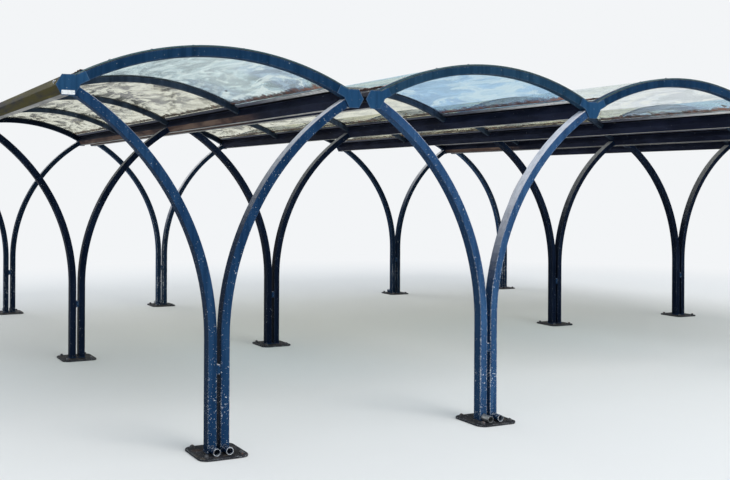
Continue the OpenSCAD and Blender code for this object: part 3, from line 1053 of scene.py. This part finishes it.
class SHELTER_OT_welds(bpy.types.Operator):
    """Lays a bead of weld round both ends of each leg tube, arch, rib and leg block"""

    bl_idname = "shelter.welds"
    bl_label = "Welds"

    def execute(self, context):
        settings = context.scene.shelter
        size = settings.weld_size
        heads, feet, blocks, arch_ends, rib_ends = [], [], [], [], []
        block_z = middle("leg_spacers").z
        for vault, row in LEG_PAIRS:
            x, y = VAULT_X[vault], ROW_Y[row]
            for side in SIDES:
                spot, look = gutter_point(x + side * SPAN / 2, y, -side, False, size * 0.35)
                heads.append(placed(spot, (-look.z, 0, look.x), look))
                feet.append(placed((x + side * TUBE_X, y, BASE_T + size * 0.35), (1, 0, 0), (0, 0, 1)))
                blocks.append(placed((x + side * (FOOT[0] - size * 0.3), y, block_z), (0, 0, 1), (side, 0, 0)))
        arch_y = (FRONT_Y + ARCH_D / 2, REAR_Y - ARCH_D / 2)
        for vault in VAULTS:
            for side in SIDES:
                radial = Vector((side * SIN30, 0, COS30))
                for low, ys, found in ((ARCH_LOW, arch_y, arch_ends), (RIB_LOW, RIB_Y, rib_ends)):
                    for y in ys:
                        spot, look = gutter_point(VAULT_X[vault] + side * SPAN / 2, y, -side, True, size * 0.3)
                        spot = spot + radial * ((low + ARCH_TOP) / 2 - ARC_R)
                        found.append(placed(spot, radial, look))
        block_y = [p.y for p in corner_points("leg_spacers") if abs(p.y - ROW_Y["middle"]) < LEG_D]
        block = (extent("leg_spacers")[2], max(block_y) - min(block_y))
        inset = 0.004
        for name, places, width, depth, share, slot in (
                ("leg_top_welds", heads, LEG_W, LEG_D, 1.0, "leg_paint"),
                ("leg_foot_welds", feet, LEG_W, LEG_D, 1.0, "leg_paint"),
                ("leg_block_welds", blocks, *block, 0.7, "leg_paint"),
                ("arch_end_welds", arch_ends, ARCH_TOP - ARCH_LOW - inset, ARCH_D, 0.9, "arch_paint"),
                ("rib_end_welds", rib_ends, ARCH_TOP - RIB_LOW - inset, RIB_D, 0.8, "arch_paint")):
            beads = copies(weld_ring(width, depth, size * share), places)
            ride(settle(beads, 60), name, weld_paint(settings))
        return {"FINISHED"}


class SHELTER_OT_bolts(bpy.types.Operator):
    """Adds the hexagon bolts on the gutters beside each row of legs"""

    bl_idname = "shelter.bolts"
    bl_label = "Bolts"

    def execute(self, context):
        front, back, beside = ROW_Y["front"] + 0.10, ROW_Y["rear"] - 0.10, 0.07
        chance = random.Random(7)
        places = []
        for n, x in GUTTER_X.items():
            for side in set(SIDES) - set(FLANGES[n]):
                for y in (front, ROW_Y["middle"] - beside, ROW_Y["middle"] + beside, back):
                    spot, look = gutter_point(x, y, side, True)
                    places.append(placed(spot, (0, 1, 0), look) @ Matrix.Rotation(chance.uniform(0, 1), 4, "Z"))
        bolt = settle(hex_bolt(across=0.016, head=0.007, washer_r=0.014, washer_t=0.002), 30)
        ride(copies(bolt, places), "gutter_bolts", bolt_zinc())
        return {"FINISHED"}


class SHELTER_OT_roof_screws(bpy.types.Operator):
    """Adds the screws with their washers along the strips over the sheets"""

    bl_idname = "shelter.roof_screws"
    bl_label = "Roof screws"

    def execute(self, context):
        places = []
        for vault in VAULTS:
            for y in STRIP_Y:
                for degrees in (-21, -13, -5, 5, 13, 21):
                    spot, out = roof_point(vault, y, math.radians(degrees), STRIP_TOP)
                    places.append(placed(spot, (0, 1, 0), out))
        head = settle(button_head(radius=0.0065, height=0.0035, washer_r=0.0095, washer_t=0.0015), 30)
        ride(copies(head, places), "roof_screws", bolt_zinc())
        return {"FINISHED"}


class SHELTER_OT_sheets(bpy.types.Operator):
    """Gives the clear sheets, the rubber under them and the strips over them their weathered materials"""

    bl_idname = "shelter.sheets"
    bl_label = "Clear sheets"

    def execute(self, context):
        settings = context.scene.shelter
        # The blue in the front bays' tints and in the see-through tints is painted sky colour.
        pale, blue, white = srgb(176, 203, 210), srgb(176, 197, 230), srgb(214, 228, 234)
        beige, olive, grey = srgb(212, 207, 190), srgb(190, 185, 160), srgb(170, 190, 206)
        looks = {  # shady side, clearness, then the tint, dirt and density of each bay from the front
            1: (-1, (0.87, 0.97, 1, 1), (pale, beige, olive, olive), (0.24, 0.80, 0.9, 0.95),
                (0.45, 0.46, 0.46, 0.42)),
            2: (-1, (0.72, 0.89, 1, 1), (blue, grey, olive, beige), (0.04, 0.12, 0.6, 0.7),
                (0.26, 0.16, 0.30, 0.32)),
            3: (0, (0.97, 0.99, 1, 1), (white, grey, beige, grey), (0.10, 0.30, 0.5, 0.5),
                (0.22, 0.30, 0.38, 0.38)),
            4: (1, (0.78, 0.92, 1, 1), (blue, grey, beige, olive), (0.08, 0.35, 0.7, 0.85),
                (0.26, 0.34, 0.44, 0.46)),
            5: (1, (0.92, 0.98, 1, 1), (pale, beige, olive, beige), (0.25, 0.7, 0.8, 0.75),
                (0.40, 0.48, 0.48, 0.46))}
        finishes = {
            f"sheets_vault{vault}": material(f"clear_sheet_{vault}", clear_sheet, VAULT_X[vault], *looks[vault])
            for vault in VAULTS}
        finishes["sheet_seals"] = rubber("seal_rubber", srgb(26, 26, 27))
        finishes["joint_strips"] = painted_steel(
            "strip_paint", settings.arch_colour, srgb(30, 62, 92), settings.chip_colour, wear=0.3, chips=0.03,
            dust=0.1, edges=0.12)
        for node, finish in finishes.items():
            coated(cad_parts[node].data, finish)
        return {"FINISHED"}


class SHELTER_OT_litter(bpy.types.Operator):
    """Lays ridges of rotted leaves along the lower edges of the sheets, with loose dry leaves on them"""

    bl_idname = "shelter.litter"
    bl_label = "Leaf litter"

    def execute(self, context):
        settings = context.scene.shelter
        ridges = [self.ridge(vault, side, settings.litter_height) for vault in VAULTS for side in SIDES]
        mould = litter("leaf_litter", srgb(34, 22, 20), srgb(84, 52, 42))
        ride(settle(joined(*ridges), 60), "leaf_litter", mould)
        if settings.leaf_count:
            leaves = copies(settle(self.leaf(), 60), self.leaf_places(settings.leaf_count))
            brown = dry_leaf("dry_leaf", srgb(66, 46, 30), srgb(140, 104, 62))
            ride(leaves, "dry_leaves", brown)
        return {"FINISHED"}

    def ridge(self, vault, side, height):
        piece = primitive("grid", x_subdivisions=10, y_subdivisions=300, size=2)
        low, high = FRONT_Y + LITTER_END, REAR_Y - LITTER_END
        for v in piece.data.vertices:
            across, along = (v.co.x + 1) / 2, (v.co.y + 1) / 2
            y = low + (high - low) * along
            key = Vector((vault * 7.3 + side * 2.1, y * 2.2, 0))
            reach = 0.50 + 0.30 * (noise.noise(key) + noise.noise(key * 5.1) + noise.noise(key * 17.0))
            hump = max(0.0, min(1.0, reach) - across) * 2.4 * min(1.0, across * 6 + 0.2)
            rough = 1 + 0.8 * noise.noise(Vector((across * 6, y * 42, vault * 3.7 + side)))
            lift = LITTER_LIFT + height * hump * max(0.1, rough)
            angle = roof_angle(side, LITTER_START + (LITTER_STOP - LITTER_START) * across)
            v.co = roof_point(vault, y, angle, SHEET_TOP + lift)[0]

        def thin(face):
            reach = max(math.hypot(v.co.x - VAULT_X[vault], v.co.z - ARC_Z) for v in face.verts)
            return reach < SHEET_TOP + LITTER_THIN

        with Editing(piece) as edit:
            if edit.choose(thin):
                bpy.ops.mesh.delete(type="FACE")
        outward(piece)
        return modified(piece, "Thickness", "SOLIDIFY", thickness=WALL, offset=0.0)

    def leaf(self):
        piece = primitive("grid", x_subdivisions=5, y_subdivisions=3, size=1)
        for v in piece.data.vertices:
            x, y = v.co.x, v.co.y
            width = math.sin(math.pi * min(1, (x + 0.5) * 0.93 + 0.04)) ** 0.7
            v.co = (x * LEAF_LEN, y * LEAF_W * width, LEAF_CURL * (x * 2) ** 2 + LEAF_FOLD * abs(y * 2))
        return modified(piece, "Thickness", "SOLIDIFY", thickness=WALL)

    def leaf_places(self, count):
        chance = random.Random(41)
        places = []
        for _ in range(count):
            vault, side = chance.choice(VAULTS), chance.choice(SIDES)
            angle = roof_angle(side, GUTTER_FACE + 0.02 + abs(chance.gauss(0, 0.10)))
            y = chance.uniform(FRONT_Y + 0.1, REAR_Y - 0.1)
            spot, out = roof_point(vault, y, angle, STRIP_TOP + HAIR)
            turn = Matrix.Rotation(chance.uniform(0, 2 * math.pi), 4, "Z")
            size = Matrix.Scale(chance.uniform(0.6, 1.15), 4)
            places.append(placed(spot, (0, 1, 0), out) @ turn @ size)
        return places


class SHELTER_OT_stage(bpy.types.Operator):
    """Makes the pale floor, the soft studio light and the camera"""

    bl_idname = "shelter.stage"
    bl_label = "Stage"

    def execute(self, context):
        settings = context.scene.shelter
        backdrop = settings.backdrop_colour
        floor = primitive("circle", vertices=128, radius=70, fill_type="NGON", location=(0, 0, -HAIR / 2))
        floor.name = "studio_floor"
        coated(floor.data, pale_floor("floor_pale", settings.floor_colour, backdrop))
        context.scene.world = studio_light("studio_world", backdrop)
        self.lamp("key_light", (4.4, -21.9, 20.1), 14.0, 4265, (1.0, 0.985, 0.96))
        self.lamp("fill_light", (12.6, -13.3, 7.9), 11.2, 590, (0.95, 0.975, 1.0))
        self.lamp("back_light", (-4.2, 16.8, 12.1), 11.2, 745, (1.0, 1.0, 1.0))
        context.scene.camera = self.camera()
        context.scene.view_settings.view_transform = "Standard"
        return {"FINISHED"}

    def lamp(self, name, place, size, power, colour):
        lamp = linked(name, bpy.data.lights.new(name, "AREA"))
        lamp.data.shape = "SQUARE"
        lamp.data.size = size
        lamp.data.energy = power
        lamp.data.color = colour
        lamp.location = place
        lamp.rotation_euler = (Vector((0, 0, 1.2)) - Vector(place)).to_track_quat("-Z", "Y").to_euler()

    def camera(self):
        """Camera that stands where the photo was taken. Focal length and middle are in pixels of the photo."""
        width, height = 730, 480
        focal, middle_y = 1040.7728, 185.5981
        yaw, roll = math.radians(27.7808), math.radians(0.2851)
        camera = linked("photo_camera", bpy.data.cameras.new("photo_camera"))
        camera.data.sensor_fit = "HORIZONTAL"
        camera.data.sensor_width = 36.0
        camera.data.lens = 36.0 * focal / width
        camera.data.shift_y = (middle_y - height / 2) / width
        camera.data.clip_end = 300
        ahead = Vector((math.sin(yaw), math.cos(yaw), 0))
        level = Vector((math.cos(yaw), -math.sin(yaw), 0))
        upright = Vector((0, 0, 1))
        right = level * math.cos(roll) + upright * math.sin(roll)
        up = upright * math.cos(roll) - level * math.sin(roll)
        turn = Matrix((right, up, -ahead)).transposed().to_4x4()
        camera.matrix_world = Matrix.Translation((-5.7330, -9.5306, 1.5740)) @ turn
        return camera


OPERATORS = (
    SHELTER_OT_legs, SHELTER_OT_arches, SHELTER_OT_gutters, SHELTER_OT_end_plates, SHELTER_OT_feet,
    SHELTER_OT_drains, SHELTER_OT_welds, SHELTER_OT_bolts, SHELTER_OT_roof_screws, SHELTER_OT_sheets,
    SHELTER_OT_litter, SHELTER_OT_stage)


class SHELTER_PT_panel(bpy.types.Panel):
    """Lists the groups of pieces and their settings"""

    bl_idname = "SHELTER_PT_panel"
    bl_label = "Bike Shelter"
    bl_space_type = "VIEW_3D"
    bl_region_type = "UI"
    bl_category = "Shelter"

    def draw(self, context):
        for name in ShelterSettings.__annotations__:
            self.layout.prop(context.scene.shelter, name)
        for operator in OPERATORS:
            self.layout.operator(operator.bl_idname)


CLASSES = (ShelterSettings, *OPERATORS, SHELTER_PT_panel)


def register():
    for cls in CLASSES:
        bpy.utils.register_class(cls)
    bpy.types.Scene.shelter = bpy.props.PointerProperty(type=ShelterSettings)


def unregister():
    del bpy.types.Scene.shelter
    for cls in reversed(CLASSES):
        bpy.utils.unregister_class(cls)


def main():
    register()
    for operator in OPERATORS:
        group, name = operator.bl_idname.split(".")
        getattr(getattr(bpy.ops, group), name)()


if __name__ == "__main__":
    main()
